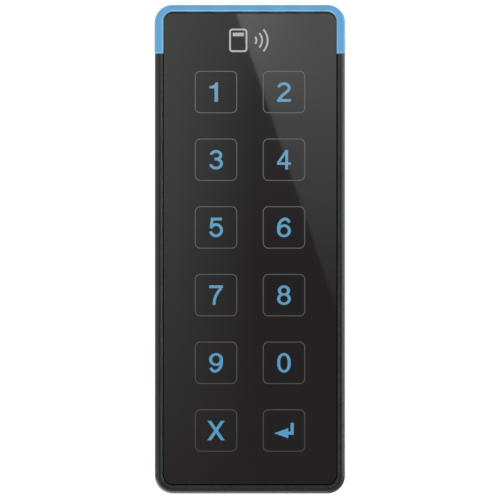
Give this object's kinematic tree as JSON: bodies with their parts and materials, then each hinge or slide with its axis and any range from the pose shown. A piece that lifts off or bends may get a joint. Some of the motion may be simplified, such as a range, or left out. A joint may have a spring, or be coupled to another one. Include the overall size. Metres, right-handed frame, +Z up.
{
  "type": "keypad access reader",
  "caption": "Slim wall-mounted card reader with a glossy touch keypad, a lit bar over its top and a body that swings off a wall plate after its lock screw is loosened.",
  "frame": {"origin": "middle of the mounting plate's wall face", "axes": "+Z up, +X to the right of a person who faces the keypad, +Y into the wall, so that the keypad faces -Y"},
  "size_m": [0.0586, 0.022, 0.1501],
  "materials": {
    "housing_plastic": "finely textured dark grey moulding",
    "light_plastic": "translucent blue, lit from behind",
    "panel_black": "glossy black touch panel",
    "legend_blue": "back-lit light blue",
    "print_grey": "grey ink line",
    "print_silver": "silver ink",
    "tape": "black foam adhesive tape",
    "diffuser": "milky diffusing plastic",
    "board_green": "green solder mask on fibreglass laminate",
    "screw_steel": "zinc-plated steel",
    "stainless": "stainless steel",
    "brass": "machined brass",
    "chip_black": "moulded epoxy with tinned leads",
    "can_metal": "tinned steel shield",
    "capacitor_metal": "aluminium can",
    "chip_tan": "ceramic with tinned ends",
    "led_white": "clear epoxy over a yellow die coat",
    "connector_plastic": "glass-filled nylon with tinned contacts",
    "connector_white": "natural nylon",
    "copper": "enamelled copper wire",
    "bobbin_plastic": "natural nylon",
    "ferrite": "flexible ferrite sheet",
    "cover_plastic": "dark grey moulding",
    "rubber": "black silicone rubber",
    "plunger_plastic": "white acetal",
    "spring_steel": "spring steel wire",
    "plate_plastic": "dark grey moulding"
  },
  "bodies": {
    "mounting_plate": {"mounting_plate": "plate_plastic", "lock_insert": "brass"},
    "reader": {"antenna_bobbin": "bobbin_plastic", "antenna_coil": "copper", "board_header": "connector_plastic", "board_socket": "connector_plastic", "buzzer": "connector_plastic", "cable_connector": "connector_white", "cable_grommet": "rubber", "capacitors": "capacitor_metal", "chip_parts": "chip_tan", "cover_gasket": "rubber", "cover_screws": "screw_steel", "crystal": "can_metal", "ferrite_sheet": "ferrite", "front_panel": "panel_black", "housing": "housing_plastic", "key_leds": "led_white", "key_legends": "legend_blue", "key_outlines": "print_grey", "light_bar": "light_plastic", "light_guide": "diffuser", "main_board": "board_green", "main_board_screws": "screw_steel", "microcontroller": "chip_black", "panel_tape": "tape", "power_coil": "chip_black", "radio_module": "can_metal", "reader_chip": "chip_black", "reader_symbol": "print_silver", "rear_cover": "cover_plastic", "status_leds": "led_white", "tamper_spring": "spring_steel", "tamper_switch": "connector_plastic", "touch_board": "board_green", "touch_board_screws": "screw_steel"},
    "tamper_plunger": {"tamper_plunger": "plunger_plastic"},
    "screw_washer": {"screw_washer": "stainless"},
    "security_screw": {"security_screw": "stainless"}
  },
  "joints": [
    {"name": "reader_swing", "type": "hinge", "parent": "mounting_plate", "child": "reader", "pos_m": [0, -0.0034, 0.0702], "axis": [-1, 0, 0], "range_deg": [0, 18]},
    {"name": "tamper_travel", "type": "slide", "parent": "reader", "child": "tamper_plunger", "axis": [0, 1, 0], "range_m": [0, 0.0015], "deforming": ["tamper_spring"]},
    {"name": "screw_travel", "type": "slide", "parent": "mounting_plate", "child": "screw_washer", "axis": [0, 0, -1], "range_m": [0, 0.001]},
    {"name": "screw_turn", "type": "hinge", "parent": "screw_washer", "child": "security_screw", "pos_m": [0, -0.003, -0.0731], "axis": [0, 0, -1], "range_deg": [0, 720]}
  ],
  "couplings": [
    {"joint": "tamper_travel", "follows": "reader_swing", "m_per_rad": 0.0047742},
    {"joint": "screw_turn", "follows": "screw_travel", "rad_per_m": 12565}
  ]
}
